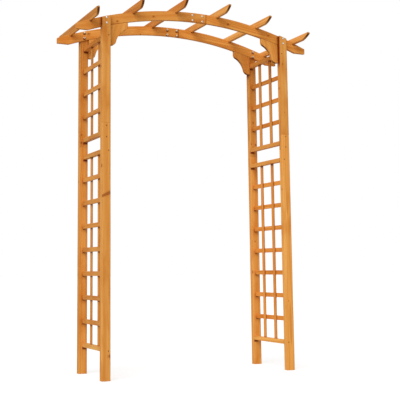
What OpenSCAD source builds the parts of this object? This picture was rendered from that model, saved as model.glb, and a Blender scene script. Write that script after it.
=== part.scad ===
// Garden arbor: two bowed beams on four posts, six rafters across them,
// curved corner braces, and a slatted panel on each side.
// +X runs along the span to the right, +Y to the back, +Z up. The feet stand on Z = 0.

/* [Frame] */
// Distance between the centre lines of the left and right posts
span = 1116; // [900:2:1500]
// Depth over the outer faces of the front and back posts
depth = 394; // [300:2:700]
// Height of the beams' top edge at mid span
arch_top = 2013; // [1900:1:2500]

/* [Posts] */
// Width of a post, along the span
post_w = 48; // [38:1:70]
// Thickness of a post, front to back
post_d = 34; // [26:1:60]
// Height at which the upper length of a post starts
post_lap_z = 1258; // [900:1:1500]
// Length of the half-lap that joins the two lengths of a post
post_lap = 86; // [50:1:140]
// How far the top of a post stays below the top edge of its beam
post_drop = 5; // [0:1:20]

/* [Beams] */
// Radius of the beams' top edge
arch_r = 1980; // [1500:10:3000]
// Height of a beam, from its top edge to its underside
beam_h = 53; // [40:1:90]
// Thickness of a beam
beam_t = 18; // [14:1:30]
// How deep a beam is let into the posts
housing = 9; // [4:1:14]
// How far a beam reaches past the centre line of a post
tail = 164; // [100:1:220]
// Height of a beam's plumb-cut end
tail_end_h = 31; // [24:1:50]
// Distance from mid span to the half-lap's seam on a beam's outer face
lap_out = 58; // [40:1:80]
// Distance from mid span to the half-lap's seam on a beam's inner face, the other way
lap_in = 40; // [24:1:80]

/* [Braces] */
// Length of a brace's arm under the beam
brace_w = 111; // [100:1:150]
// Length of a brace's arm on the post
brace_h = 112; // [100:1:150]
// Width of a brace's flat foot, before its toe is rounded
foot_w = 10; // [2:1:30]
// How far the centre of the hollow curve lies past the brace's tip
hollow_out = 35; // [24:1:46]
// Radius of a brace's rounding at the post
toe_r = 32; // [10:1:36]
// Radius of a brace's rounding at its tip
tip_r = 23; // [8:1:30]

/* [Rafters] */
// Number of rafters
rafter_count = 6; // [6:1:6]
// How far the outer rafters stand outside the centre lines of the posts
rafter_out = 86; // [60:1:110]
// Thickness of a rafter
rafter_t = 15; // [12:1:30]
// Height of a rafter
rafter_h = 40; // [30:1:60]
// How far a rafter reaches past the outer face of the posts
rafter_overhang = 127; // [80:1:200]
// How deep a rafter sits down over the beams
rafter_seat = 9; // [6:1:16]
// Length of a rafter's rounded end, along its underside
nose_run = 50; // [30:1:70]
// Height of the square tip above the rounding
nose_blunt = 8; // [3:1:14]
// Radius of a rafter's rounded end
nose_r = 90; // [60:1:140]

/* [Side panels] */
// Height of a rail
rail_h = 23; // [16:1:40]
// Thickness of a rail
rail_t = 27; // [20:1:36]
// Underside of the bottom rail above the ground
bottom_rail_z = 144; // [60:1:300]
// Underside of the rail on top of the lower lattice
lower_mid_rail_z = 1187; // [900:1:1240]
// Clear gap between the two middle rails
mid_gap = 76; // [40:1:120]
// Clear gap between the top rail and the underside of the beams
top_gap = 47; // [10:1:120]
// Number of bars across the lower lattice
lower_bars = 7; // [3:1:9]
// Number of bars across the upper lattice
upper_bars = 3; // [1:1:5]
// Number of upright slats in each lattice
upright_count = 2; // [1:1:3]
// Height of a lattice bar
bar_h = 25; // [16:1:36]
// Thickness of a lattice bar
bar_t = 9; // [5:1:10]
// Width of an upright slat
upright_w = 22; // [14:1:36]
// Thickness of an upright slat
upright_t = 8; // [5:1:10]

/* [Fits] */
// Clearance on each side of a beam in a rafter's notch
notch_gap = 0.3; // [0.1:0.1:0.8]

/* [Hidden] */
$fn = 96;
left = -1;
right = 1;
front = -1;
back = 1;
stain = "#c8863c";
stain_light = "#d99a50";
stain_dark = "#b97430";

post_x = span / 2;
post_in_x = post_x - post_w / 2;
post_in_y = depth / 2 - post_d;
beam_in_y = post_in_y + housing - beam_t;
under_r = arch_r - beam_h;
arch_cz = arch_top - arch_r;
beam_end_x = post_x + tail;
tail_flat_z = arch_z(arch_r, beam_end_x) - tail_end_h;
brace_z = arch_z(under_r, post_in_x) - brace_h;
upper_mid_rail_z = lower_mid_rail_z + rail_h + mid_gap;
top_rail_z = round(arch_z(under_r, post_in_x)) - top_gap - rail_h;
rafter_turn = 2 * asin((post_x + rafter_out) / arch_r) / (rafter_count - 1);
panel_l = 2 * post_in_y;

// How far two arcs cross where they would only touch
arc_lap = 0.02;

// Height of an arc of radius r about the beams' centre, at x
function arch_z(r, x) = arch_cz + sqrt(r * r - x * x);

// Mirrors what is drawn for the right and the back to the given corner
module at_corner(side, face) {
    mirror([side == left ? 1 : 0, 0, 0]) mirror([0, face == front ? 1 : 0, 0]) children();
}

// Stands an outline drawn in X and Z up, from y to y + thickness
module upright_board(y, thickness) {
    translate([0, y + thickness, 0]) rotate([90, 0, 0]) linear_extrude(thickness) children();
}

module arch_disc(r) {
    translate([0, arch_cz]) circle(r, $fn = 1440);
}

// Post at the back right, whole height, with the housing for its beam
module post_blank() {
    difference() {
        upright_board(post_in_y, post_d) intersection() {
            translate([post_in_x, 0]) square([post_w, arch_top]);
            arch_disc(arch_r - post_drop);
        }
        upright_board(post_in_y - 1, housing + 1) difference() {
            translate([post_in_x - 1, brace_z]) square([post_w + 2, arch_top]);
            arch_disc(under_r);
        }
    }
}

// The two tongues of a post's half-lap: the lower length keeps the outer one
module post_lower(side, face) {
    color(stain) at_corner(side, face) intersection() {
        post_blank();
        union() {
            translate([post_in_x, post_in_y, 0]) cube([post_w, post_d, post_lap_z]);
            translate([post_in_x, post_in_y + post_d / 2, 0]) cube([post_w, post_d / 2, post_lap_z + post_lap]);
        }
    }
}

module post_upper(side, face) {
    color(stain) at_corner(side, face) difference() {
        post_blank();
        translate([post_in_x - 1, post_in_y - 1, -1]) cube([post_w + 2, post_d + 2, post_lap_z + 1]);
        translate([post_in_x - 1, post_in_y + post_d / 2, -1])
            cube([post_w + 2, post_d, post_lap_z + post_lap + 1]);
    }
}

// Whole beam in X and Z: a bowed strip with plumb ends and a flat under each tail
module beam_outline() {
    intersection() {
        difference() {
            arch_disc(arch_r);
            arch_disc(under_r);
        }
        translate([-beam_end_x, tail_flat_z]) square([2 * beam_end_x, arch_top]);
    }
}

// Beam half, drawn for the front beam. The back beam is the same one turned half round.
// The half with the outer tongue ends in full thickness at lap_in, the other at lap_out.
module beam_half(side, face) {
    outer_tongue = side == face;
    y = -beam_in_y - beam_t;
    tongue_y = outer_tongue ? y : y + beam_t / 2;
    color(stain_light) rotate([0, 0, face == front ? 0 : 180]) union() {
        upright_board(y, beam_t) intersection() {
            beam_outline();
            translate([outer_tongue ? -lap_in - beam_end_x : lap_out, 0]) square([beam_end_x, arch_top]);
        }
        upright_board(tongue_y, beam_t / 2) intersection() {
            beam_outline();
            translate([-lap_in, 0]) square([lap_in + lap_out, arch_top]);
        }
    }
}

// Brace in X and Z, from the corner between its two arms: a hollow curve that runs
// into a round toe on the post and a round tip under the beam. The hollow and the
// roundings reach arc_lap past where they would touch, so that their arcs cross.
module brace_outline() {
    hollow_x = brace_w + hollow_out;
    hollow_r = sqrt(pow(hollow_x - foot_w, 2) + toe_r * toe_r) - toe_r;
    tip_z = sqrt(pow(hollow_r + tip_r, 2) - pow(hollow_out + tip_r, 2));
    toe_end_z = toe_r - toe_r * toe_r / (hollow_r + toe_r);
    tip_start_x = hollow_x - (hollow_out + tip_r) * hollow_r / (hollow_r + tip_r);
    difference() {
        square([brace_w, 2 * brace_h]);
        translate([hollow_x, 0]) circle(hollow_r + arc_lap);
        difference() {
            translate([foot_w, -1]) square([brace_w, toe_end_z + 1]);
            translate([foot_w, toe_r - arc_lap]) circle(toe_r);
        }
        difference() {
            translate([tip_start_x, -1]) square([brace_w, tip_z + 1]);
            translate([brace_w - tip_r + arc_lap, tip_z]) circle(tip_r);
        }
    }
}

module brace(side, face) {
    color(stain_light) at_corner(side, face) upright_board(beam_in_y, beam_t) intersection() {
        translate([post_in_x, brace_z]) mirror([1, 0]) brace_outline();
        arch_disc(under_r);
    }
}

// Rafter outline in Y and Z, from its bottom edge at mid length. The rounding's circle
// passes through both ends of the nose, and the cut reaches a little past each of them.
module rafter_outline() {
    reach = depth / 2 + rafter_overhang;
    rise = rafter_h - nose_blunt;
    chord = norm([nose_run, rise]);
    set_back = sqrt(nose_r * nose_r - chord * chord / 4);
    nose_y = reach - nose_run / 2 - set_back * rise / chord;
    nose_z = rise / 2 + set_back * nose_run / chord;
    difference() {
        translate([-reach, 0]) square([2 * reach, rafter_h]);
        for (end = [0, 1]) mirror([end, 0]) difference() {
            translate([reach - nose_run - 4, -1]) square([nose_run + 5, rafter_h - nose_blunt / 2 + 1]);
            translate([nose_y, nose_z]) circle(nose_r);
        }
    }
}

// Rafter number i, counted from the left, notched over both beams. The rafters stand
// square to the beams' top edge, at equal steps along it.
module rafter(i) {
    turn = (i - (rafter_count + 1) / 2) * rafter_turn;
    color(stain_light) difference() {
        translate([0, 0, arch_cz]) rotate([0, turn, 0]) translate([-rafter_t / 2, 0, arch_r - rafter_seat])
            rotate([90, 0, 90]) linear_extrude(rafter_t) rafter_outline();
        for (y = [-beam_in_y - beam_t, beam_in_y])
            upright_board(y - notch_gap, beam_t + 2 * notch_gap) arch_disc(arch_r);
    }
}

// Rail between a front and a back post, flush with their inner sides
module rail(side, z) {
    color(stain) at_corner(side, back) translate([post_in_x, -post_in_y, z]) cube([rail_t, panel_l, rail_h]);
}

// Lattice between two rails: upright slats inside, bars across them outside
module lattice(side, z, height, bars) {
    bar_x = post_in_x + rail_t - bar_t;
    upright_gap = (panel_l - upright_count * upright_w) / (upright_count + 1);
    bar_pitch = (height + rail_h) / (bars + 1);
    color(stain_dark) at_corner(side, back) union() {
        for (i = [1:upright_count])
            translate([bar_x - upright_t, -post_in_y + i * upright_gap + (i - 1) * upright_w, z])
                cube([upright_t, upright_w, height]);
        for (i = [1:bars])
            translate([bar_x, -post_in_y, z - rail_h / 2 + i * bar_pitch - bar_h / 2])
                cube([bar_t, panel_l, bar_h]);
    }
}

module lower_lattice(side) {
    z = bottom_rail_z + rail_h;
    lattice(side, z, lower_mid_rail_z - z, lower_bars);
}

module upper_lattice(side) {
    z = upper_mid_rail_z + rail_h;
    lattice(side, z, top_rail_z - z, upper_bars);
}

post_lower(left, front);  // front_left_post_lower
post_upper(left, front);  // front_left_post_upper
post_lower(right, front);  // front_right_post_lower
post_upper(right, front);  // front_right_post_upper
post_lower(left, back);  // back_left_post_lower
post_upper(left, back);  // back_left_post_upper
post_lower(right, back);  // back_right_post_lower
post_upper(right, back);  // back_right_post_upper
beam_half(left, front);  // front_beam_left
beam_half(right, front);  // front_beam_right
beam_half(left, back);  // back_beam_left
beam_half(right, back);  // back_beam_right
brace(left, front);  // front_left_brace
brace(right, front);  // front_right_brace
brace(left, back);  // back_left_brace
brace(right, back);  // back_right_brace
rafter(1);  // rafter_1
rafter(2);  // rafter_2
rafter(3);  // rafter_3
rafter(4);  // rafter_4
rafter(5);  // rafter_5
rafter(6);  // rafter_6
rail(left, bottom_rail_z);  // left_bottom_rail
rail(left, lower_mid_rail_z);  // left_lower_mid_rail
rail(left, upper_mid_rail_z);  // left_upper_mid_rail
rail(left, top_rail_z);  // left_top_rail
rail(right, bottom_rail_z);  // right_bottom_rail
rail(right, lower_mid_rail_z);  // right_lower_mid_rail
rail(right, upper_mid_rail_z);  // right_upper_mid_rail
rail(right, top_rail_z);  // right_top_rail
lower_lattice(left);  // left_lower_lattice
upper_lattice(left);  // left_upper_lattice
lower_lattice(right);  // right_lower_lattice
upper_lattice(right);  // right_upper_lattice
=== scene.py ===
import math
import random

import bmesh
import bpy
from mathutils import Matrix, Vector


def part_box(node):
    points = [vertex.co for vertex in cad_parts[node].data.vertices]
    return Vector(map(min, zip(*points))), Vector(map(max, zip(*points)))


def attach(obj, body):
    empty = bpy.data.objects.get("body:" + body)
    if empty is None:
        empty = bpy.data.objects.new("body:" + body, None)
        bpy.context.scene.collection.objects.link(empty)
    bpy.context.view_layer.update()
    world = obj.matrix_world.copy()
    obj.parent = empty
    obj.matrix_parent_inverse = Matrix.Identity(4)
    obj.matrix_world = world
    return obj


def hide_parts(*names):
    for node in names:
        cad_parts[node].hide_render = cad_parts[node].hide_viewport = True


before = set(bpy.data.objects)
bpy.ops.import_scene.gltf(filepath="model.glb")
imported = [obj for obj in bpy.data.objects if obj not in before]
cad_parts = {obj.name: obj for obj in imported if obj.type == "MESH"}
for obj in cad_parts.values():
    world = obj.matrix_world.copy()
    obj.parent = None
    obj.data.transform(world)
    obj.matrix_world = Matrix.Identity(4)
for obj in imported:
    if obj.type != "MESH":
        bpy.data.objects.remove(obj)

scene = bpy.context.scene
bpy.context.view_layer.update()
print("frame loaded:", len(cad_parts), "nodes")


# camera

viewpoint = {
    "place": (-2.1654, -4.3983, 0.5654),
    "turn": -23.833,  # degrees about Z, from looking along +Y
    "tilt": 7.196,  # degrees above the horizon
    "roll": -0.288,
    "lens": 77.2,
    "sensor": 36.0,
    "shiftX": 0.12598,
    "shiftY": -0.0962,
    "clipEnd": 100.0,
}


def makeCamera(settings):
    data = bpy.data.cameras.new("camera")
    data.lens = settings["lens"]
    data.sensor_width = settings["sensor"]
    data.shift_x = settings["shiftX"]
    data.shift_y = settings["shiftY"]
    data.clip_end = settings["clipEnd"]
    camera = bpy.data.objects.new("camera", data)
    scene.collection.objects.link(camera)
    turn = Matrix.Rotation(math.radians(settings["turn"]), 4, "Z")
    tilt = Matrix.Rotation(math.radians(90 + settings["tilt"]), 4, "X")
    roll = Matrix.Rotation(math.radians(settings["roll"]), 4, "Z")
    camera.matrix_world = Matrix.Translation(settings["place"]) @ turn @ tilt @ roll
    scene.camera = camera


makeCamera(viewpoint)
print("camera placed")


def meshOf(bm, name):
    mesh = bpy.data.meshes.new(name)
    bm.to_mesh(mesh)
    bm.free()
    return mesh


# shader helpers

def toLinear(channel):
    if channel <= 0.04045:
        return channel / 12.92
    return ((channel + 0.055) / 1.055) ** 2.4


def paint(colour):
    # a colour as it looks on screen, for a shader's socket
    return tuple(toLinear(channel) for channel in colour) + (1.0,)


def feed(tree, socket, value):
    # links an output, or writes a plain value
    if isinstance(value, bpy.types.NodeSocket):
        tree.links.new(value, socket)
    else:
        socket.default_value = value


def calc(tree, operation, a, b=0.0, c=0.0):
    node = tree.nodes.new("ShaderNodeMath")
    node.operation = operation
    for socket, value in zip(node.inputs, (a, b, c)):
        feed(tree, socket, value)
    return node.outputs[0]


def vectorCalc(tree, operation, a, b=(0.0, 0.0, 0.0)):
    node = tree.nodes.new("ShaderNodeVectorMath")
    node.operation = operation
    feed(tree, node.inputs[0], a)
    feed(tree, node.inputs[1], b)
    return node.outputs["Value" if operation in ("LENGTH", "DOT_PRODUCT") else "Vector"]


def softStep(tree, value, low, high, start=0.0, end=1.0):
    node = tree.nodes.new("ShaderNodeMapRange")
    node.interpolation_type = "SMOOTHSTEP"
    sockets = ("Value", "From Min", "From Max", "To Min", "To Max")
    for socket, number in zip(sockets, (value, low, high, start, end)):
        feed(tree, node.inputs[socket], number)
    return node.outputs["Result"]


def blendColour(tree, factor, a, b, mode="MIX"):
    node = tree.nodes.new("ShaderNodeMix")
    node.data_type = "RGBA"
    node.blend_type = mode
    node.clamp_factor = True
    feed(tree, node.inputs["Factor"], factor)
    feed(tree, node.inputs[6], a)
    feed(tree, node.inputs[7], b)
    return node.outputs[2]


def stretchedNoise(tree, coord, stretch, detail=2.0, rough=0.5, output="Fac"):
    node = tree.nodes.new("ShaderNodeTexNoise")
    feed(tree, node.inputs["Vector"], vectorCalc(tree, "MULTIPLY", coord, stretch))
    node.inputs["Scale"].default_value = 1.0
    node.inputs["Detail"].default_value = detail
    node.inputs["Roughness"].default_value = rough
    return node.outputs[output]


def ownAttribute(tree, name, output="Vector"):
    node = tree.nodes.new("ShaderNodeAttribute")
    node.attribute_type = "GEOMETRY"
    node.attribute_name = name
    return node.outputs[output]


def clearedTree(owner):
    owner.use_nodes = True
    owner.node_tree.nodes.clear()
    return owner.node_tree


def giveBump(tree, shader, height, strength, distance):
    bump = tree.nodes.new("ShaderNodeBump")
    bump.inputs["Strength"].default_value = strength
    bump.inputs["Distance"].default_value = distance
    tree.links.new(height, bump.inputs["Height"])
    tree.links.new(bump.outputs[0], shader.inputs["Normal"])


def freshMaterial(name):
    material = bpy.data.materials.new(name)
    tree = clearedTree(material)
    output = tree.nodes.new("ShaderNodeOutputMaterial")
    shader = tree.nodes.new("ShaderNodeBsdfPrincipled")
    tree.links.new(shader.outputs["BSDF"], output.inputs["Surface"])
    return material, tree, shader


# studio

studio = {
    "floorHalf": 60.0,
    "floorSeen": 0.5,  # the grey that the shadow falls on
    "floorBounce": 0.46,  # the grey that throws light back on the arch
    "floorLift": 0.56,  # glow that brings the seen grey up to white
    "sky": 0.70,
    "keyTurn": 45.0,  # degrees from straight in front, towards the left
    "keyRise": 31.0,  # degrees above the ground
    "keySoft": 52.0,  # degrees the lamp spans
    "keyStrength": 2.2,
    "keyAway": 6.0,
}

plainWhite = (1.0, 1.0, 1.0, 1.0)


def grey(level):
    return (level, level, level, 1.0)


def unlitRays(tree):
    # 1 for what the camera, a gloss or a clear surface sees, 0 for the light itself
    path = tree.nodes.new("ShaderNodeLightPath")
    seen = calc(tree, "MAXIMUM", path.outputs["Is Camera Ray"], path.outputs["Is Glossy Ray"])
    return calc(tree, "MAXIMUM", seen, path.outputs["Is Transmission Ray"])


def makeSky(settings):
    world = bpy.data.worlds.new("studioSky")
    scene.world = world
    tree = clearedTree(world)
    output = tree.nodes.new("ShaderNodeOutputWorld")
    light = tree.nodes.new("ShaderNodeBackground")
    light.inputs["Color"].default_value = plainWhite
    light.inputs["Strength"].default_value = settings["sky"]
    white = tree.nodes.new("ShaderNodeBackground")
    white.inputs["Color"].default_value = plainWhite
    mix = tree.nodes.new("ShaderNodeMixShader")
    tree.links.new(unlitRays(tree), mix.inputs[0])
    tree.links.new(light.outputs[0], mix.inputs[1])
    tree.links.new(white.outputs[0], mix.inputs[2])
    tree.links.new(mix.outputs[0], output.inputs[0])


def makeFloor(settings):
    # pale to look at, with the soft shadow on it, and a darker grey to the light it throws back
    bm = bmesh.new()
    bmesh.ops.create_grid(bm, x_segments=1, y_segments=1, size=settings["floorHalf"])
    floor = bpy.data.objects.new("floor", meshOf(bm, "floor"))
    scene.collection.objects.link(floor)
    material = bpy.data.materials.new("paleFloor")
    tree = clearedTree(material)
    output = tree.nodes.new("ShaderNodeOutputMaterial")
    seen = unlitRays(tree)
    bounce = grey(settings["floorBounce"])
    pale = grey(settings["floorSeen"])
    matt = tree.nodes.new("ShaderNodeBsdfDiffuse")
    tree.links.new(blendColour(tree, seen, bounce, pale), matt.inputs["Color"])
    glow = tree.nodes.new("ShaderNodeEmission")
    glow.inputs["Color"].default_value = plainWhite
    tree.links.new(calc(tree, "MULTIPLY", seen, settings["floorLift"]), glow.inputs["Strength"])
    both = tree.nodes.new("ShaderNodeAddShader")
    tree.links.new(matt.outputs[0], both.inputs[0])
    tree.links.new(glow.outputs[0], both.inputs[1])
    tree.links.new(both.outputs[0], output.inputs["Surface"])
    floor.data.materials.append(material)


def makeKey(settings):
    turn = math.radians(settings["keyTurn"])
    rise = math.radians(settings["keyRise"])
    level = math.cos(rise)
    toLamp = Vector((-math.sin(turn) * level, -math.cos(turn) * level, math.sin(rise)))
    lamp = bpy.data.lights.new("key", "SUN")
    lamp.angle = math.radians(settings["keySoft"])
    lamp.energy = settings["keyStrength"]
    key = bpy.data.objects.new("key", lamp)
    key.location = toLamp * settings["keyAway"]
    key.rotation_euler = (-toLamp).to_track_quat("-Z", "Y").to_euler()
    scene.collection.objects.link(key)


scene.view_settings.view_transform = "Standard"
makeSky(studio)
makeFloor(studio)
makeKey(studio)
print("studio lit")


# stained softwood
#
# Each board carries its own place in the log: boardCoord runs along the grain in x and
# out from the pith in y and z. knot1 to knot3 hold a knot's place there and its radius,
# and spikeRun how far the first one runs on, where a branch was sawn along its length.

knotSlots = 3

stain = {
    "pale": (0.88, 0.63, 0.32),
    "honey": (0.84, 0.56, 0.25),
    "amber": (0.78, 0.48, 0.18),
    "lateWood": (0.67, 0.36, 0.11),
    "halo": (0.66, 0.35, 0.12),
    "endGrain": (0.36, 0.17, 0.06),
    "knotCore": (0.58, 0.30, 0.10),
    "knotRim": (0.45, 0.20, 0.06),
    # dark red-brown of painted shade and pooled stain where parts meet
    "jointStainShade": (0.45, 0.15, 0.03),
    "ring": 0.0046,  # from one growth ring to the next
    "ringShow": 0.42,
    "fibreShow": 0.17,
    "resinShow": 0.35,
    "haloShow": 0.4,
    "knotShow": 0.7,
    "endShow": 0.9,
    "redFade": (0.0, -0.2, -0.45),  # what redness takes off red, green and blue
    "gloss": 0.58,
    "glossRange": 0.22,  # from the smoothest fibre to the roughest
    "endRough": 0.3,
    "sheen": 0.07,
    "relief": 0.0004,
    "reliefShow": 0.6,
    "swerve": 1.6,  # how far a knot pushes the rings, in its own radii
    "bend": 0.03,
    "spikeGrow": (0.75, 0.45),  # a spike's radius at its start, and what its far end adds
}

# repeats to the metre, along the board and across it
grain = {
    "bend": (1.6, 7.0, 7.0),
    "broad": (1.1, 55.0, 55.0),
    "patch": (5.0, 14.0, 14.0),
    "fibre": (14.0, 620.0, 620.0),
    "resin": (60.0, 1500.0, 1500.0),
}


def knotField(tree, coord):
    # distance to the nearest knot in knot radii, and how far the rings swerve round it
    nearest = 100.0
    swerve = 0.0
    for number in range(1, knotSlots + 1):
        place = ownAttribute(tree, f"knot{number}", "Color")
        reach = vectorCalc(tree, "SUBTRACT", coord, place)
        size = calc(tree, "MAXIMUM", place.node.outputs["Alpha"], 0.00001)
        if number == 1:
            run = ownAttribute(tree, "spikeRun")
            runSquared = calc(tree, "MAXIMUM", vectorCalc(tree, "DOT_PRODUCT", run, run), 0.000001)
            share = calc(tree, "DIVIDE", vectorCalc(tree, "DOT_PRODUCT", reach, run), runSquared)
            share = calc(tree, "MINIMUM", calc(tree, "MAXIMUM", share, 0.0), 1.0)
            reach = vectorCalc(tree, "SUBTRACT", reach, vectorCalc(tree, "MULTIPLY", run, share))
            start, growth = stain["spikeGrow"]
            size = calc(tree, "MULTIPLY", size, calc(tree, "MULTIPLY_ADD", share, growth, start))
        reach = vectorCalc(tree, "LENGTH", vectorCalc(tree, "MULTIPLY", reach, (0.7, 1.0, 1.0)))
        ratio = calc(tree, "DIVIDE", reach, size)
        push = calc(tree, "MULTIPLY", softStep(tree, ratio, 0.6, 3.6, 1.0, 0.0), size)
        nearest = calc(tree, "MINIMUM", nearest, ratio)
        swerve = calc(tree, "ADD", swerve, push)
    return nearest, swerve


def layOver(tree, colour, factor, name):
    return blendColour(tree, factor, colour, paint(stain[name]))


def makeTimber(name, tint):
    material, tree, shader = freshMaterial(name)
    coord = ownAttribute(tree, "boardCoord")
    look = tree.nodes.new("ShaderNodeSeparateXYZ")
    tree.links.new(ownAttribute(tree, "boardLook"), look.inputs[0])
    tone, ringScale, redness = look.outputs
    cutEnd = ownAttribute(tree, "endGrain", "Fac")
    knotRatio, swerve = knotField(tree, coord)

    # growth rings, bent a little along the board and pushed aside by knots
    bend = stretchedNoise(tree, coord, grain["bend"], detail=1.0, output="Color")
    bend = vectorCalc(tree, "SUBTRACT", bend, (0.5, 0.5, 0.5))
    bend = vectorCalc(tree, "MULTIPLY", bend, (0.0, stain["bend"], stain["bend"]))
    bent = vectorCalc(tree, "MULTIPLY", vectorCalc(tree, "ADD", coord, bend), (0.0, 1.0, 1.0))
    pushed = calc(tree, "MULTIPLY", swerve, stain["swerve"])
    radius = calc(tree, "ADD", vectorCalc(tree, "LENGTH", bent), pushed)
    ring = calc(tree, "DIVIDE", radius, calc(tree, "MULTIPLY", ringScale, stain["ring"]))
    ring = calc(tree, "FRACT", ring)
    darkening = softStep(tree, ring, 0.25, 0.86)
    late = calc(tree, "MULTIPLY", darkening, softStep(tree, ring, 0.9, 1.0, 1.0, 0.0))

    # tone: broad streaks, then fibres and short resin lines
    broad = stretchedNoise(tree, coord, grain["broad"])
    patch = stretchedNoise(tree, coord, grain["patch"])
    fibre = stretchedNoise(tree, coord, grain["fibre"], detail=3.0, rough=0.6)
    resin = stretchedNoise(tree, coord, grain["resin"], detail=1.0)
    paleness = softStep(tree, broad, 0.34, 0.68)
    colour = blendColour(tree, paleness, paint(stain["honey"]), paint(stain["pale"]))
    colour = layOver(tree, colour, softStep(tree, patch, 0.45, 0.78), "amber")
    lateShow = calc(tree, "MULTIPLY", late, stain["ringShow"])
    colour = layOver(tree, colour, lateShow, "lateWood")
    resinShow = calc(tree, "MULTIPLY", softStep(tree, resin, 0.66, 0.74), stain["resinShow"])
    colour = layOver(tree, colour, resinShow, "lateWood")

    # the board's own tone, and how red the stain came out on it, with the painted light and shade of its
    # faces' directions on top
    streaks = calc(tree, "MULTIPLY_ADD", fibre, stain["fibreShow"] * 2, 1.0 - stain["fibreShow"])
    streaks = calc(tree, "MULTIPLY", streaks, calc(tree, "ADD", tone, 1.0))
    shade = tree.nodes.new("ShaderNodeCombineXYZ")
    for socket, fade in zip(shade.inputs, stain["redFade"]):
        left = calc(tree, "MULTIPLY_ADD", redness, fade, 1.0)
        tree.links.new(calc(tree, "MULTIPLY", streaks, left), socket)
    colour = blendColour(tree, 1.0, colour, shade.outputs[0], "MULTIPLY")

    # knots, with the darker stain that gathers round them
    halo = calc(tree, "MULTIPLY", softStep(tree, knotRatio, 0.9, 2.8, 1.0, 0.0), stain["haloShow"])
    colour = layOver(tree, colour, halo, "halo")
    toRim = softStep(tree, knotRatio, 0.35, 0.95)
    core = blendColour(tree, toRim, paint(stain["knotCore"]), paint(stain["knotRim"]))
    inKnot = calc(tree, "MULTIPLY", softStep(tree, knotRatio, 0.7, 1.3, 1.0, 0.0), stain["knotShow"])
    colour = blendColour(tree, inKnot, colour, core)

    # end grain drinks more stain; the joints get painted shade and stain
    endShow = calc(tree, "MULTIPLY", cutEnd, stain["endShow"])
    colour = layOver(tree, colour, endShow, "endGrain")
    colour = layOver(tree, colour, ownAttribute(tree, "jointStainShade", "Fac"), "jointStainShade")
    colour = blendColour(tree, 1.0, colour, paint(tint), "MULTIPLY")
    tree.links.new(colour, shader.inputs["Base Color"])

    smoothest = stain["gloss"] - stain["glossRange"] / 2
    rough = calc(tree, "MULTIPLY_ADD", fibre, stain["glossRange"], smoothest)
    rough = calc(tree, "MULTIPLY_ADD", cutEnd, stain["endRough"], rough)
    tree.links.new(rough, shader.inputs["Roughness"])
    shader.inputs["Specular IOR Level"].default_value = stain["sheen"]

    height = calc(tree, "MULTIPLY_ADD", late, 0.35, calc(tree, "MULTIPLY", fibre, 0.8))
    height = calc(tree, "SUBTRACT", height, calc(tree, "MULTIPLY", inKnot, 0.5))
    giveBump(tree, shader, height, stain["reliefShow"], stain["relief"])
    return material


timber = {
    "post_wood": makeTimber("postTimber", (1.0, 1.0, 1.0)),
    "beam_wood": makeTimber("beamTimber", (1.0, 0.99, 0.97)),
    "rafter_wood": makeTimber("rafterTimber", (1.0, 1.0, 1.0)),
    "panel_wood": makeTimber("panelTimber", (1.0, 0.99, 0.98)),
}
print("timber mixed")


# boards

shaping = {
    "weldWithin": 0.00002,
    "flatWithin": 0.6,  # degrees, as the next angles are
    "sharpFrom": 32,
    "shadeSharp": 50,
    "alongFrom": 0.85,  # cosine with the board's length that counts as running along it
    "normalWeight": 90,
    "cutNear": 0.0001,
}

# where boards come from in the log, and how they differ
log = {
    "length": 40.0,
    "fromPith": (0.035, 0.11),
    "ringScale": (0.75, 1.3),
    "ownTone": 0.03,
    "squareEnd": 0.97,  # slope past which an end is cut square
    "endSlope": (0.25, 0.65),  # from long grain to full end grain
}


def weldedCopy(name):
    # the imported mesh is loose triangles: weld them and make each flat side one face
    bm = bmesh.new()
    bm.from_mesh(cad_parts[name].data)
    bmesh.ops.remove_doubles(bm, verts=bm.verts, dist=shaping["weldWithin"])
    flat = math.radians(shaping["flatWithin"])
    bmesh.ops.dissolve_limit(bm, angle_limit=flat, verts=bm.verts, edges=bm.edges)
    return bm


def sharpEdges(bm, along=None):
    # the outward edges, or only those that run along the board
    sharp = math.radians(shaping["sharpFrom"])
    found = []
    for edge in bm.edges:
        if not edge.is_manifold or not edge.is_convex:
            continue
        if edge.calc_face_angle(0.0) < sharp:
            continue
        run = (edge.verts[1].co - edge.verts[0].co).normalized()
        if along is None or abs(run.dot(along)) >= shaping["alongFrom"]:
            found.append(edge)
    return found


def bevelEdges(bm, edges, width, segments):
    bmesh.ops.bevel(
        bm, geom=edges, offset=width, offset_type="OFFSET", segments=segments,
        profile=0.5, affect="EDGES", clamp_overlap=True, material=-1,
    )


def easeEdges(bm, width, segments, along=None):
    bevelEdges(bm, sharpEdges(bm, along), width, segments)


def cutAway(bm, cutter):
    # takes the cutter's shape out of the board, and gives what is left
    board = bpy.data.objects.new("board", meshOf(bm, "board"))
    tool = bpy.data.objects.new("cutter", meshOf(cutter, "cutter"))
    for thing in (board, tool):
        scene.collection.objects.link(thing)
    boolean = board.modifiers.new("cut", "BOOLEAN")
    boolean.operation = "DIFFERENCE"
    boolean.solver = "EXACT"
    boolean.object = tool
    depsgraph = bpy.context.evaluated_depsgraph_get()
    result = bpy.data.meshes.new_from_object(board.evaluated_get(depsgraph))
    left = bmesh.new()
    left.from_mesh(result)
    for thing in (board, tool):
        old = thing.data
        bpy.data.objects.remove(thing)
        bpy.data.meshes.remove(old)
    bpy.data.meshes.remove(result)
    return left


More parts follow.
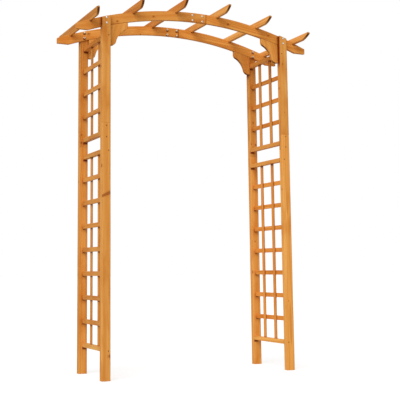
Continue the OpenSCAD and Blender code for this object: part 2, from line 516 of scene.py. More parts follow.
fixings = {
    "holeRadius": 0.0041,
    "holeDepth": 0.0030,
    "holeSides": 28,
    "holeTaper": 1.6,
    "headRadius": 0.0037,
    "holeOver": 0.0003,  # how far the cutter stands out of the wood
    "headSunk": 0.0005,
    "headTaper": 0.0021,
    "headEdge": 0.0003,
    "headEase": 0.0002,
    "slotLong": 0.0050,
    "slotWide": 0.0013,
    "slotDeep": 0.0018,
    "lapScrewZ": (1.332, 1.271),
    "leftScrewDrop": 0.004,
    "railScrewX": 0.546,
    "boltZ": (1.919, 1.889),
    "backLeftBolts": (-0.003, 0.004),  # their step from the others' place
    "lapBolts": ((-0.028, 1.999), (-0.028, 1.969), (0.034, 1.999), (0.034, 1.969)),
    "domeRadius": 0.0060,
    "domeRise": 0.0034,
    "domeEdge": 0.0006,
    "neckRadius": 0.0035,
    "neckLong": 0.0020,
    "washerRadius": 0.0058,
    "washerThick": 0.0014,
    "washerHole": 0.0032,
    "washerEase": 0.0003,
    "sunk": 0.0002,  # of what lies on the wood, so that no gap shows
    "nutAcross": 0.0080,
    "nutThick": 0.0050,
    "nutEase": 0.0006,
    "threadRadius": 0.0029,
    "threadLong": 0.0105,
    "threadPitch": 0.0010,
    "threadDeep": 0.0004,
    "threadTaper": 0.0006,
    "pinRadius": 0.0011,
    "pinRise": 0.0003,
    "pinDeep": 0.0010,
    "metalSharp": 40,  # degrees past which an edge is shaded sharp
    "nutSharp": 32,
    "pinSharp": 60,
}

screwPlaces = []  # a point on the surface and the way out of the wood
pinPlaces = []


def facing(point, out):
    # takes a shape that faces along Z to a point, facing out
    turn = Vector((0, 0, 1)).rotation_difference(out).to_matrix().to_4x4()
    return Matrix.Translation(point) @ turn


def countersink(bm, spots, settings):
    cutter = bmesh.new()
    over = settings["holeOver"]
    deep = settings["holeDepth"]
    slope = settings["holeRadius"] / (deep * settings["holeTaper"])
    for point, out in spots:
        bmesh.ops.create_cone(
            cutter, cap_ends=True, segments=settings["holeSides"],
            radius1=settings["holeRadius"] - deep * slope,
            radius2=settings["holeRadius"] + over * slope, depth=deep + over,
            matrix=facing(point + out * (over - deep) / 2, out),
        )
    screwPlaces.extend(spots)
    return cutAway(bm, cutter)


def jointShadeAndStain(point, joint):
    # a joint is a box of painted shade and stain, how far they reach out of it each way, and how dark it is
    # inside
    low, high, reach, strength = joint
    away = [max(a - c, c - b, 0.0) / r for c, a, b, r in zip(point, low, high, reach)]
    return strength * max(0.0, 1.0 - Vector(away).length)


def cutAround(bm, joints):
    # lays cuts beside each joint, so that the painted shade and stain can fade across them
    for axis in range(3):
        places = set()
        for low, high, reach, _ in joints:
            for step in (0.0, 0.5, 1.0):
                places.add(round(low[axis] - step * reach[axis], 5))
                places.add(round(high[axis] + step * reach[axis], 5))
        normal = Vector([1.0 if i == axis else 0.0 for i in range(3)])
        for place in sorted(places):
            geometry = bm.verts[:] + bm.edges[:] + bm.faces[:]
            bmesh.ops.bisect_plane(
                bm, geom=geometry, dist=shaping["cutNear"], plane_co=normal * place, plane_no=normal
            )


skin = 0.001  # how far a joint's box stands out of a board's face


def around(low, high, mark):
    # a joint's box with the reach and the darkness of its painted shade and stain
    return (low, high, mark["reach"], mark["dark"])


def layGrain(
    bm, seed, along, across, knots=(), tone=0.0, red=0.0, thirst=(0.6, 0.6), joints=(), facingShade=(), spike=None
):
    # seed picks the board's place in the log; a knot is a point on the board and its radius;
    # thirst is how dark its square ends and its slanting ends turn; a joint is a box of painted
    # shade and stain round where parts meet; a facing shade is a way out of the board, with the
    # painted light and shade, as tone and red, on faces that point that way; a spike is a knot
    # with a second point that it runs to
    pick = random.Random(seed)
    along = Vector(along).normalized()
    across = Vector(across).normalized()
    other = along.cross(across)
    middle = sum((v.co for v in bm.verts), Vector()) / len(bm.verts)
    turn = pick.uniform(0.0, 2.0 * math.pi)
    depth = pick.uniform(*log["fromPith"])
    shift = Vector((pick.uniform(0.0, log["length"]), depth * math.cos(turn), depth * math.sin(turn)))
    tone += pick.uniform(-log["ownTone"], log["ownTone"])
    look = Vector((tone, pick.uniform(*log["ringScale"]), red))

    def place(point):
        reach = point - middle
        return Vector((reach.dot(along), reach.dot(across), reach.dot(other))) + shift

    coord = bm.verts.layers.float_vector.new("boardCoord")
    looks = bm.faces.layers.float_vector.new("boardLook")
    cut = bm.faces.layers.float.new("endGrain")
    jointStainShade = bm.verts.layers.float.new("jointStainShade")
    layers = [bm.verts.layers.float_color.new(f"knot{n + 1}") for n in range(knotSlots)]
    runs = bm.verts.layers.float_vector.new("spikeRun")
    run = Vector()
    if spike:
        start, end, radius = spike
        knots = [(start, radius)] + list(knots)
        run = place(Vector(end)) - place(Vector(start))
    for vert in bm.verts:
        vert[jointStainShade] = max([jointShadeAndStain(vert.co, joint) for joint in joints], default=0.0)
        vert[coord] = place(vert.co)
        vert[runs] = run
        for layer in layers:
            vert[layer] = (0.0, 0.0, 0.0, 0.0)
        for layer, (spot, radius) in zip(layers, knots):
            vert[layer] = tuple(place(Vector(spot))) + (radius,)
    for face in bm.faces:
        slope = abs(face.normal.dot(along))
        ended = min(1.0, max(0.0, (slope - log["endSlope"][0]) / (log["endSlope"][1] - log["endSlope"][0])))
        face[cut] = thirst[0 if slope > log["squareEnd"] else 1] * ended
        face[looks] = look
        # painted light and shade: faces that point along a facing shade's way take its tone and red
        for way, extraTone, extraRed in facingShade:
            share = max(0.0, face.normal.dot(Vector(way))) ** 2
            face[looks] += Vector((extraTone, 0.0, extraRed)) * share


def finishPiece(bm, name, material, sharpAngle):
    for face in bm.faces:
        face.smooth = True
    mesh = meshOf(bm, name)
    mesh.set_sharp_from_angle(angle=math.radians(sharpAngle))
    mesh.materials.append(material)
    piece = bpy.data.objects.new(name, mesh)
    scene.collection.objects.link(piece)
    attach(piece, "root")
    return piece


def finishBoard(bm, node, slot, kind="timber"):
    piece = finishPiece(bm, f"{node}_{kind}", timber[slot], shaping["shadeSharp"])
    weighted = piece.modifiers.new("weightedNormals", "WEIGHTED_NORMAL")
    weighted.keep_sharp = True
    weighted.weight = shaping["normalWeight"]
    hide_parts(node)


def lookOf(settings, name):
    # the tone and the red that a board has on top of its kind's
    return settings["tones"].get(name, 0.0), settings["reds"].get(name, 0.0)


def knotsOf(settings, bm, name):
    # the knots that stand on this board, or a few small ones where none are given
    if name in settings["knots"]:
        return settings["knots"][name]
    return scatterKnots(bm, name, *settings["smallKnots"])


def scatterKnots(bm, seed, count, sizes):
    # small knots anywhere on a board's four broadest faces
    pick = random.Random(f"{seed} knots")
    broad = sorted(bm.faces, key=lambda face: face.calc_area(), reverse=True)[:4]
    knots = []
    for _ in range(count):
        corners = pick.choice(broad).verts
        shares = [pick.random() ** 2 for _ in corners]
        spot = sum((v.co * share for v, share in zip(corners, shares)), Vector()) / sum(shares)
        knots.append((spot, pick.uniform(*sizes)))
    return knots


lattices = {
    "bars": {"lower": 7, "upper": 3},
    "uprights": 2,
    "barThick": 0.009,
    "barHigh": 0.025,
    "uprightThick": 0.008,
    "uprightWide": 0.022,
    "railHigh": 0.023,
    "ease": 0.0009,
    "tones": {"left_lower": -0.07, "left_upper": -0.09, "right_lower": 0.08},
    "reds": {"right_lower": 0.2, "right_upper": 0.1},
    # painted light and shade of the bars: redder and darker on the right, behind the uprights, less red on
    # the left
    "barShadeReds": {"left": -0.1, "right": 0.35},
    # painted shade on the uprights' narrow edges
    "edgeShade": {"left": -0.06, "right": -0.16},  # of the uprights' narrow edges
    "ownTone": (-0.04, 0.04),  # how far one lath strays from the rest
    "ownRed": (-0.1, 0.2),
    # painted shade and stain on the uprights: under the rail above, on the rail below, and under the bars
    "topShade": {"deep": 0.003, "reach": (0.012,) * 3, "dark": 0.9},
    "footShade": {"deep": 0.001, "reach": (0.005,) * 3, "dark": 0.7},
    "crossShade": {"half": 0.0005, "below": 0.002, "within": 0.003, "reach": (0.007,) * 3, "dark": 0.8},
}


def barEnds(side):
    # the two x of a bar's faces and its middle height, for each bar of the panel
    found = []
    for place, barCount in lattices["bars"].items():
        low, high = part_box(f"{side}_{place}_lattice")
        outer, way = (low.x, 1) if side == "left" else (high.x, -1)
        faces = (outer, outer + way * lattices["barThick"])
        pitch = (high.z - low.z + lattices["railHigh"]) / (barCount + 1)
        for i in range(1, barCount + 1):
            found.append((faces, low.z - lattices["railHigh"] / 2 + i * pitch))
    return found


arch = {
    "radius": 1.980,
    "centreZ": 0.033,
    "rafters": 6,
    "rafterTurn": 7.592,  # degrees between two rafters about the arch's centre
    "rafterThick": 0.015,
    "rafterHigh": 0.040,
    "rafterSeat": 0.009,
    "beamHigh": 0.053,
}


posts = {
    "corners": ("front_left", "front_right", "back_left", "back_right"),
    "lengths": ("lower", "upper"),
    "ease": 0.0026,
    "endEase": 0.0007,
    "tones": {
        "front_right_post_lower": 0.10, "front_left_post_upper": -0.02, "front_right_post_upper": 0.03,
        "back_left_post_upper": -0.05, "back_right_post_upper": -0.08, "back_left_post_lower": 0.03,
        "back_right_post_lower": 0.07,
    },
    "reds": {
        "front_right_post_lower": -0.3, "front_right_post_upper": -0.35,
        "back_left_post_lower": 0.35, "back_left_post_upper": 0.35, "back_right_post_lower": 0.3,
        "back_right_post_upper": 0.4,
    },
    # painted light and shade on the faces that point to -X: their tone and their red
    "leftFaceLight": {
        "front_left_post_lower": (0.0, -0.35), "front_left_post_upper": (-0.05, -0.12),
        "front_right_post_lower": (0.01, -0.1), "front_right_post_upper": (-0.02, 0.3),
        "back_left_post_lower": (-0.16, -0.7), "back_left_post_upper": (-0.06, -0.8),
        "back_right_post_lower": (0.02, -0.35), "back_right_post_upper": (0.06, -0.5),
    },
    "knots": {
        "back_left_post_upper": [
            ((-0.574, 0.163, 1.327), 0.0036),
            ((-0.573, 0.163, 1.282), 0.0044),
            ((-0.560, 0.163, 1.276), 0.0036),
        ],
        "back_right_post_upper": [
            ((0.540, 0.163, 1.336), 0.0036),
            ((0.570, 0.163, 1.332), 0.0040),
            ((0.556, 0.163, 1.470), 0.0036),
        ],
        "front_left_post_lower": [
            ((-0.582, -0.187, 1.112), 0.0054),
            ((-0.539, -0.197, 0.126), 0.0050),
        ],
    },
    "smallKnots": (3, (0.002, 0.0045)),  # how many on another board, and their radii
    "spikes": {
        "front_left_post_lower": ((-0.582, -0.197, 0.951), (-0.541, -0.197, 0.969), 0.0048),
    },
    # painted shade and stain on the post: under the rail ends and bar ends, a soft halo round the bar ends,
    # and beside the beam
    "railMark": {
        "left": 0.002, "right": 0.003, "below": 0.008, "above": 0.003,
        "reach": (0.006, 0.006, 0.007), "dark": 0.95,
    },
    "barShade": {"below": 0.003, "above": 0.007, "reach": (0.006, 0.006, 0.007), "dark": 0.85},
    "barShadeHalo": {"reach": (0.016, 0.006, 0.022), "dark": 0.3},
    "beamMark": {"within": 0.003, "out": 0.015, "reach": (0.0025, 0.012, 0.03), "dark": 0.95},
}


railNames = ("bottom", "lower_mid", "upper_mid", "top")


def postJoints(settings, corner, length):
    # painted shade and stain where the rails and bars of the side panel end against this post, and beside
    # the beam that lies on it
    low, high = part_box(f"{corner}_post_{length}")
    side = "left" if "left" in corner else "right"
    innerY = high.y if "front" in corner else low.y
    joints = []
    for place in railNames:
        a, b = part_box(f"{side}_{place}_rail")
        if b.z > low.z and a.z < high.z:
            mark = settings["railMark"]
            under = (a.x + mark["left"], innerY - skin, a.z - mark["below"])
            over = (b.x - mark["right"], innerY + skin, a.z + mark["above"])
            joints.append(around(under, over, mark))
    for x, z in barEnds(side):
        if low.z < z < high.z:
            mark = settings["barShade"]
            foot = z - lattices["barHigh"] / 2
            under = (min(x), innerY - skin, foot - mark["below"])
            over = (max(x), innerY + skin, foot + mark["above"])
            joints += [around(under, over, mark), around(under, over, settings["barShadeHalo"])]
    if length == "upper":
        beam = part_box(f"{corner.split('_')[0]}_beam_{side}")
        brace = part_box(f"{corner}_brace")
        beamOut = beam[0].y if "front" in corner else beam[1].y
        way = -1 if "front" in corner else 1
        mark = settings["beamMark"]
        near, far = sorted((beamOut - way * mark["within"], beamOut + way * mark["out"]))
        for x in (low.x, high.x):
            inner = abs(x) < abs(low.x + high.x) / 2
            bottom = brace[0].z if inner else high.z - arch["beamHigh"]
            joints.append(around((x - skin, near, bottom), (x + skin, far, high.z), mark))
    return joints


def postScrews(corner, low, high):
    # the outer face's screws that fall on this length of the post
    side = -1 if "left" in corner else 1
    front = "front" in corner
    faceY = low.y if front else high.y
    out = Vector((0, -1 if front else 1, 0))
    middle = (low.x + high.x) / 2
    drop = fixings["leftScrewDrop"] if corner == "front_left" else 0.0
    places = [(middle, z - drop) for z in fixings["lapScrewZ"]]
    for place in ("bottom", "lower_mid", "top"):
        a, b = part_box(f"{'left' if side < 0 else 'right'}_{place}_rail")
        places.append((side * fixings["railScrewX"], (a.z + b.z) / 2 - drop))
    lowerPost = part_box(f"{corner}_post_lower")
    outerLow = low.z if low == lowerPost[0] else lowerPost[1].z
    return [(Vector((x, faceY, z)), out) for x, z in places if outerLow < z < high.z]


def makePosts(settings):
    for corner in settings["corners"]:
        for length in settings["lengths"]:
            name = f"{corner}_post_{length}"
            low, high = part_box(name)
            bm = weldedCopy(name)
            easeEdges(bm, settings["ease"], 3, Vector((0, 0, 1)))
            easeEdges(bm, settings["endEase"], 2)
            knots = knotsOf(settings, bm, name)
            joints = postJoints(settings, corner, length)
            cutAround(bm, joints)
            spots = postScrews(corner, low, high)
            if spots:
                bm = countersink(bm, spots, fixings)
            tone, red = lookOf(settings, name)
            facingShade = [((-1, 0, 0),) + settings["leftFaceLight"][name]]
            spike = settings["spikes"].get(name)
            layGrain(
                bm, name, (0, 0, 1), (1, 0, 0), knots, tone, red, joints=joints, facingShade=facingShade, spike=spike
            )
            finishBoard(bm, name, "post_wood")


makePosts(posts)
print("posts cut")


beams = {
    "tones": {"back_beam_left": 0.09, "back_beam_right": 0.13, "front_beam_right": 0.04},
    "reds": {
        "back_beam_left": 0.2, "back_beam_right": 0.2, "front_beam_left": 0.2, "front_beam_right": 0.25,
    },
    "ease": 0.0018,
    "endEase": 0.0006,
    "thirst": (0.15, 0.15),
    "chordDrop": 0.05,  # what a half is taller than the rise of its chord
    # painted shade and stain on the beam: under the nuts, under the rafters, in the lap's seams, beside the
    # posts
    "nutShade": {
        "left": 0.005, "right": 0.004, "low": 0.010, "high": 0.002, "reach": (0.005,) * 3, "dark": 1.0,
    },
    "rafterMark": {"below": 0.008, "above": 0.003, "reach": (0.007,) * 3, "dark": 1.0},
    "innerSeamShade": {"half": 0.0022, "reach": (0.0022, 0.004, 0.01), "dark": 0.7},
    "outerSeamShade": {"half": 0.0022, "reach": (0.0022, 0.004, 0.01), "dark": 0.5},
    "postMark": {"half": 0.002, "reach": (0.008, 0.002, 0.01), "dark": 0.45},
    "smallKnots": (2, (0.002, 0.004)),
    "knots": {
        "front_beam_left": [((-0.486, -0.172, 1.911), 0.0050), ((-0.270, -0.172, 1.963), 0.0036)],
        "front_beam_right": [((0.470, -0.172, 1.934), 0.0050), ((0.202, -0.172, 1.971), 0.0048)],
        "back_beam_left": [((-0.210, 0.154, 1.952), 0.0036), ((-0.535, 0.154, 1.919), 0.0045)],
    },
}


def arcPoint(turn, radius):
    return Vector((radius * math.sin(turn), 0, arch["centreZ"] + radius * math.cos(turn)))


def rafterTurn(number):
    return (number - (arch["rafters"] + 1) / 2) * math.radians(arch["rafterTurn"])


def nutPlaces(face):
    # x and z of the bolts through a beam, at the posts and in the half-lap
    postLow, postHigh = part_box(f"{face}_left_post_lower")
    middle = (postLow.x + postHigh.x) / 2
    stepX, stepZ = fixings["backLeftBolts"] if face == "back" else (0.0, 0.0)
    places = [(middle + stepX, z + stepZ) for z in fixings["boltZ"]]
    places += [(-middle, z) for z in fixings["boltZ"]]
    turned = 1 if face == "front" else -1
    return places + [(turned * x, z) for x, z in fixings["lapBolts"]]


def beamJoints(settings, face, low, high):
    # painted shade and stain under the nuts, under each rafter on both broad faces, along the
    # half-lap's two seams, and beside the posts on the outer face
    joints = []
    inner, outer = (high.y, low.y) if face == "front" else (low.y, high.y)
    mark = settings["nutShade"]
    for x, z in nutPlaces(face):
        a = (x - mark["left"], inner - skin, z - mark["low"])
        b = (x + mark["right"], inner + skin, z - mark["high"])
        joints.append(around(a, b, mark))
    mark = settings["rafterMark"]
    for number in range(1, arch["rafters"] + 1):
        spot = arcPoint(rafterTurn(number), arch["radius"])
        a = (spot.x, low.y - skin, spot.z - mark["below"])
        b = (spot.x + arch["rafterThick"] / 2, high.y + skin, spot.z + mark["above"])
        joints.append(around(a, b, mark))

    def upright(x, y, mark):
        a = (x - mark["half"], y - skin, low.z)
        b = (x + mark["half"], y + skin, high.z)
        joints.append(around(a, b, mark))

    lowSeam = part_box(f"{face}_beam_left")[1].x
    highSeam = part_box(f"{face}_beam_right")[0].x
    for x, y in ((lowSeam, low.y), (highSeam, high.y)):
        upright(x, y, settings["innerSeamShade" if y == inner else "outerSeamShade"])
    for side in ("left", "right"):
        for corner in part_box(f"{face}_{side}_post_upper"):
            upright(corner.x, outer, settings["postMark"])
    return joints


def makeBeams(settings):
    for face in ("front", "back"):
        for side in ("left", "right"):
            name = f"{face}_beam_{side}"
            low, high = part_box(name)
            bm = weldedCopy(name)
            easeEdges(bm, settings["ease"], 3, Vector((1, 0, 0)))
            easeEdges(bm, settings["endEase"], 2)
            # the halves are sawn out of straight planks, laid along their chord
            rise = high.z - low.z - settings["chordDrop"]
            along = (high.x - low.x, 0, rise if side == "left" else -rise)
            knots = knotsOf(settings, bm, name)
            joints = beamJoints(settings, face, low, high)
            cutAround(bm, joints)
            tone, red = lookOf(settings, name)
            layGrain(bm, name, along, (0, 1, 0), knots, tone, red, settings["thirst"], joints)
            finishBoard(bm, name, "beam_wood")


makeBeams(beams)
print("beams bowed")


braces = {
    "ease": 0.0022,
    "tones": {
        "front_left_brace": 0.07, "front_right_brace": 0.04,
        "back_left_brace": 0.09, "back_right_brace": 0.05,
    },
    "reds": {"back_right_brace": 0.25},
    "lean": 0.25,  # of the grain, out of upright
    "thirst": (0.9, 0.9),
    "seamNear": 0.0011,
    "seamShadeAndStain": {"beam": 0.6, "post": 0.3},
}


def makeBraces(settings):
    for face in ("front", "back"):
        for side in ("left", "right"):
            name = f"{face}_{side}_brace"
            bm = weldedCopy(name)
            easeEdges(bm, settings["ease"], 2)
            lean = settings["lean"] if side == "left" else -settings["lean"]
            tone, red = lookOf(settings, name)
            layGrain(bm, f"{name} curve", (lean, 0, 1), (0, 1, 0), (), tone, red, settings["thirst"])
            # painted shade and stain in the seams against the beam and the post
            jointStainShade = bm.verts.layers.float["jointStainShade"]
            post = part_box(f"{name.removesuffix('_brace')}_post_upper")
            postSide = post[1].x if side == "left" else post[0].x
            for vert in bm.verts:
                fromCentre = math.hypot(vert.co.x, vert.co.z - arch["centreZ"])
                underBeam = arch["radius"] - arch["beamHigh"] - fromCentre
                if abs(underBeam) < settings["seamNear"]:
                    vert[jointStainShade] = settings["seamShadeAndStain"]["beam"]
                elif abs(vert.co.x - postSide) < settings["seamNear"]:
                    vert[jointStainShade] = settings["seamShadeAndStain"]["post"]
            finishBoard(bm, name, "beam_wood")


makeBraces(braces)
print("braces sawn")


rafters = {
    "ease": 0.0016,
    "tones": {"rafter_1": -0.08, "rafter_2": -0.08, "rafter_3": -0.02, "rafter_4": 0.03, "rafter_5": 0.06},
    "reds": {"rafter_1": 0.15, "rafter_2": 0.45, "rafter_3": 0.35, "rafter_4": -0.2, "rafter_5": -0.35},
    "smallKnots": (2, (0.002, 0.004)),
    # the slanting ends, on the rounded noses, turn fully dark: end grain, with painted shade on the noses'
    # undersides
    "thirst": (0.3, 1.0),
    # painted shade and stain where the rafter sits on the beam
    "seatShade": {"half": 0.02, "low": 0.02, "high": 0.006, "reach": (0.01, 0.004, 0.004), "dark": 0.7},
}


def makeRafters(settings):
    for number in range(1, arch["rafters"] + 1):
        name = f"rafter_{number}"
        bm = weldedCopy(name)
        knots = scatterKnots(bm, name, *settings["smallKnots"])
        turn = rafterTurn(number)
        out = arcPoint(turn, 1.0) - arcPoint(turn, 0.0)
        across = Vector((0, 1, 0)).cross(out)
        easeEdges(bm, settings["ease"], 2)
        top = arcPoint(turn, arch["radius"] - arch["rafterSeat"] + arch["rafterHigh"])
        spot = arcPoint(turn, arch["radius"])
        mark = settings["seatShade"]
        spots = []
        joints = []
        for face in ("front", "back"):
            low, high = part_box(f"{face}_beam_left")
            spots.append((top + Vector((0, (low.y + high.y) / 2, 0)), out))
            a = (spot.x - mark["half"], low.y, spot.z - mark["low"])
            b = (spot.x + mark["half"], high.y, spot.z - mark["high"])
            joints.append(around(a, b, mark))
        cutAround(bm, joints)
        bm = countersink(bm, spots, fixings)
        tone, red = lookOf(settings, name)
        layGrain(bm, name, (0, 1, 0), across, knots, tone, red, settings["thirst"], joints)
        finishBoard(bm, name, "rafter_wood")


makeRafters(rafters)
print("rafters notched")


rails = {
    "ease": 0.0015,
    "endEase": 0.0003,
    "tones": {
        "left_lower_mid_rail": -0.15, "left_upper_mid_rail": -0.17, "right_bottom_rail": 0.24,
        "right_lower_mid_rail": 0.03,
    },
    "reds": {
        "left_bottom_rail": -0.9, "left_lower_mid_rail": -0.25, "left_upper_mid_rail": -0.3,
        "right_bottom_rail": -0.75, "right_upper_mid_rail": -0.2, "right_top_rail": 0.15,
    },
    # painted light on each rail's underside
    "underside": (0.24, 0.2),  # its tone and its red
}


def makeRails(settings):
    for side in ("left", "right"):
        for place in railNames:
            name = f"{side}_{place}_rail"
            bm = weldedCopy(name)
            easeEdges(bm, settings["ease"], 3, Vector((0, 1, 0)))
            easeEdges(bm, settings["endEase"], 1)
            tone, red = lookOf(settings, name)
            facingShade = [((0, 0, -1),) + settings["underside"]]
            layGrain(bm, name, (0, 1, 0), (1, 0, 0), (), tone, red, facingShade=facingShade)
            finishBoard(bm, name, "panel_wood")


makeRails(rails)
print("rails fitted")


def makeLath(settings, low, high, along, seed, tone, red, joints=(), facingShade=()):
    bm = bmesh.new()
    bmesh.ops.create_cube(bm, size=1.0)
    bmesh.ops.scale(bm, vec=high - low, verts=bm.verts)
    bmesh.ops.translate(bm, vec=(low + high) / 2, verts=bm.verts)
    easeEdges(bm, settings["ease"], 2, along)
    cutAround(bm, joints)
    pick = random.Random(f"{seed} tone")
    tone += pick.uniform(*settings["ownTone"])
    red += pick.uniform(*settings["ownRed"])
    layGrain(bm, seed, along, (1, 0, 0), (), tone, red, joints=joints, facingShade=facingShade)
    return meshOf(bm, "lath")


def uprightJoints(settings, a, b, backX, bars):
    # painted shade and stain under the rail above, on the rail below, and under the bars where they cross
    inset = Vector((skin, skin, 0.0))
    topShade, footShade, mark = settings["topShade"], settings["footShade"], settings["crossShade"]
    top = Vector((a.x, a.y, b.z - topShade["deep"])) - inset
    foot = Vector((b.x, b.y, a.z + footShade["deep"])) + inset
    joints = [around(top, b + inset, topShade), around(a - inset, foot, footShade)]
    half = settings["barHigh"] / 2
    for z in bars:
        under = (backX - mark["half"], a.y - skin, z - half - mark["below"])
        over = (backX + mark["half"], b.y + skin, z + half - mark["within"])
        joints.append(around(under, over, mark))
    return joints


def makeLattice(settings, side, place):
    name = f"{side}_{place}_lattice"
    low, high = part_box(name)
    tone, red = lookOf(settings, f"{side}_{place}")
    outX, way = (low.x, -1) if side == "left" else (high.x, 1)
    backX = outX - way * settings["barThick"]
    barX = sorted((outX, backX))
    uprightX = sorted((backX, backX - way * settings["uprightThick"]))
    bars = [z for _, z in barEnds(side) if low.z < z < high.z]
    edge = settings["edgeShade"][side]
    facingShade = [((0, -1, 0), edge, 0.0), ((0, 1, 0), edge, 0.0)]
    wide = settings["uprightWide"]
    clear = (high.y - low.y - settings["uprights"] * wide) / (settings["uprights"] + 1)
    laths = []
    for i in range(settings["uprights"]):
        y = low.y + clear + i * (clear + wide)
        a = Vector((uprightX[0], y, low.z))
        b = Vector((uprightX[1], y + wide, high.z))
        pinPlaces.extend((Vector((outX, (a.y + b.y) / 2, z)), Vector((way, 0, 0))) for z in bars)
        joints = uprightJoints(settings, a, b, backX, bars)
        seed = f"{name} upright {i}"
        laths.append(makeLath(settings, a, b, Vector((0, 0, 1)), seed, tone, red, joints, facingShade))
    half = settings["barHigh"] / 2
    barShadeRed = red + settings["barShadeReds"][side]
    for i, z in enumerate(bars):
        a = Vector((barX[0], low.y, z - half))
        b = Vector((barX[1], high.y, z + half))
        laths.append(makeLath(settings, a, b, Vector((0, 1, 0)), f"{name} bar {i}", tone, barShadeRed))
    bm = bmesh.new()
    for lath in laths:
        bm.from_mesh(lath)
        bpy.data.meshes.remove(lath)
    finishBoard(bm, name, "panel_wood", "laths")


for side in ("left", "right"):
    for place in lattices["bars"]:
        makeLattice(lattices, side, place)
print("lattices pinned")


# fixings

def turnedShape(profile, steps):
    # spins a profile of radius and height about Z
    bm = bmesh.new()
    verts = [bm.verts.new((radius, 0, height)) for radius, height in profile]
    edges = [bm.edges.new(pair) for pair in zip(verts, verts[1:])]
    bmesh.ops.spin(
        bm, geom=verts + edges, cent=(0, 0, 0), axis=(0, 0, 1), angle=2 * math.pi,
        steps=steps, use_merge=True,
    )
    bmesh.ops.remove_doubles(bm, verts=bm.verts, dist=0.000001)
    bmesh.ops.recalc_face_normals(bm, faces=bm.faces)
    return bm


def makeMetal(name, colour, rough, mottle):
    material, tree, shader = freshMaterial(name)
    place = tree.nodes.new("ShaderNodeTexCoord").outputs["Object"]
    cloud = stretchedNoise(tree, place, (900.0,) * 3, detail=3.0)
    fine = stretchedNoise(tree, place, (5000.0,) * 3)
    dull = tuple(channel * (1.0 - mottle) for channel in colour)
    clean = softStep(tree, cloud, 0.35, 0.65)
    tree.links.new(blendColour(tree, clean, paint(dull), paint(colour)), shader.inputs["Base Color"])
    tree.links.new(calc(tree, "MULTIPLY_ADD", cloud, 0.24, rough - 0.12), shader.inputs["Roughness"])
    shader.inputs["Metallic"].default_value = 1.0
    giveBump(tree, shader, fine, 0.3, 0.0001)
    return material


zinc = makeMetal("zincPlate", (0.86, 0.85, 0.82), 0.38, 0.25)
paleZinc = makeMetal("paleZinc", (0.92, 0.86, 0.76), 0.46, 0.2)
# yellow passivate, its colour browned as a painted reflection of the wood round the screws
passivateAndReflection = makeMetal("yellowPassivateAndReflection", (0.60, 0.38, 0.19), 0.46, 0.18)


def gather(mesh, places):
    # a copy of the mesh at each place, facing out
    bm = bmesh.new()
    for point, out in places:
        before = len(bm.verts)
        bm.from_mesh(mesh)
        bm.verts.ensure_lookup_table()
        bmesh.ops.transform(bm, matrix=facing(point, out), verts=bm.verts[before:])
    return bm


def screwHead(settings):
    r = settings["headRadius"]
    top = -settings["headSunk"]
    deep = top - settings["headTaper"]
    edge = (r, top - settings["headEdge"])
    rounded = (r - settings["headEase"], top)
    head = turnedShape(((0, deep), (r * 0.5, deep), edge, rounded, (0, top)), 24)
    cutter = bmesh.new()
    arm, wide = settings["slotLong"], settings["slotWide"]
    for x, y in ((arm, wide), (wide, arm)):
        made = bmesh.ops.create_cube(cutter, size=1.0)
        bmesh.ops.scale(cutter, vec=(x, y, settings["slotDeep"]), verts=made["verts"])
        bmesh.ops.translate(cutter, vec=(0, 0, top), verts=made["verts"])
    return meshOf(cutAway(head, cutter), "screwHead")


def makeScrews(settings):
    heads = gather(screwHead(settings), screwPlaces)
    finishPiece(heads, "wood_screws", passivateAndReflection, settings["metalSharp"])


def makePins(settings):
    # small domed heads where the bars are nailed to the uprights
    r = settings["pinRadius"]
    rise = settings["pinRise"]
    foot = -settings["pinDeep"]
    profile = ((0, foot), (r, foot), (r, 0.0), (r * 0.75, rise * 0.7), (0, rise))
    head = meshOf(turnedShape(profile, 14), "pinHead")
    finishPiece(gather(head, pinPlaces), "lattice_pins", zinc, settings["pinSharp"])


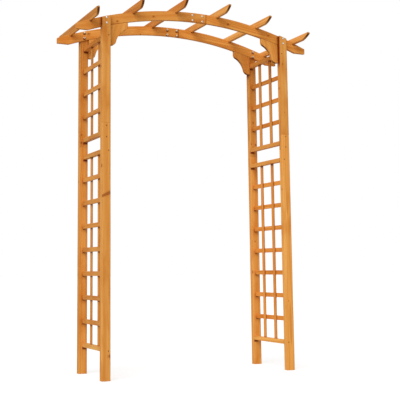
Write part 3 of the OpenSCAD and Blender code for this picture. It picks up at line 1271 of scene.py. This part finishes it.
def boltMeshes(settings):
    # a domed head, a washer, and a nut with the end of the thread
    r = settings["domeRadius"]
    neck = settings["neckRadius"]
    foot = -settings["neckLong"]
    sunk = -settings["sunk"]
    edge = settings["domeEdge"]
    rise = settings["domeRise"]
    dome = [(0, foot), (neck, foot), (neck, sunk), (r, sunk), (r, edge)]
    dome += [(r * math.cos(a), edge + (rise - edge) * math.sin(a)) for a in (0.35, 0.7, 1.05, 1.35)]
    dome.append((0, rise))
    head = meshOf(turnedShape(dome, 32), "boltHead")
    thick = settings["washerThick"]
    r = settings["washerRadius"]
    hole = settings["washerHole"]
    rounded = r - settings["washerEase"]
    ring = ((hole, sunk), (r, sunk), (r, thick * 0.75), (rounded, thick), (hole, thick))
    washer = meshOf(turnedShape(ring + ring[:1], 32), "washer")
    nut = bmesh.new()
    hexTop = thick + settings["nutThick"]
    corner = settings["nutAcross"] / math.sqrt(3)
    bmesh.ops.create_cone(
        nut, cap_ends=True, segments=6, radius1=corner, radius2=corner, depth=settings["nutThick"],
        matrix=Matrix.Translation((0, 0, (thick + hexTop) / 2)),
    )
    rim = [edge for edge in nut.edges if abs(edge.verts[0].co.z - edge.verts[1].co.z) < 0.001]
    bevelEdges(nut, rim, settings["nutEase"], 2)
    end = settings["threadLong"]
    core = settings["threadRadius"]
    root = core - settings["threadDeep"]
    pitch = settings["threadPitch"]
    ridges = [(0, hexTop - pitch / 2), (core, hexTop - pitch / 2)]
    z = hexTop
    while z < end - pitch:
        ridges += [(core, z), (root, z + pitch / 2)]
        z += pitch
    ridges += [(core, z), (core - settings["threadTaper"], end), (0, end)]
    thread = meshOf(turnedShape(ridges, 20), "thread")
    nut.from_mesh(thread)
    return head, washer, meshOf(nut, "nut")


def makeBolts(settings):
    outside = []
    inside = []
    for face, way in (("front", -1), ("back", 1)):
        out = Vector((0, way, 0))
        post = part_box(f"{face}_left_post_lower")
        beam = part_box(f"{face}_beam_left")
        ends = (0, 1) if face == "front" else (1, 0)
        for x, z in nutPlaces(face):
            headY = post[ends[0]].y if abs(x) > 0.5 * abs(post[0].x) else beam[ends[0]].y
            outside.append((Vector((x, headY, z)), out))
            inside.append((Vector((x, beam[ends[1]].y, z)), -out))
    head, washer, nut = boltMeshes(settings)
    finishPiece(gather(head, outside), "coach_bolt_heads", zinc, settings["metalSharp"])
    finishPiece(gather(washer, inside), "washers", paleZinc, settings["metalSharp"])
    finishPiece(gather(nut, inside), "nuts", paleZinc, settings["nutSharp"])


makeScrews(fixings)
makePins(fixings)
makeBolts(fixings)
print("fixings driven:", len(screwPlaces), "screws")


print("done")
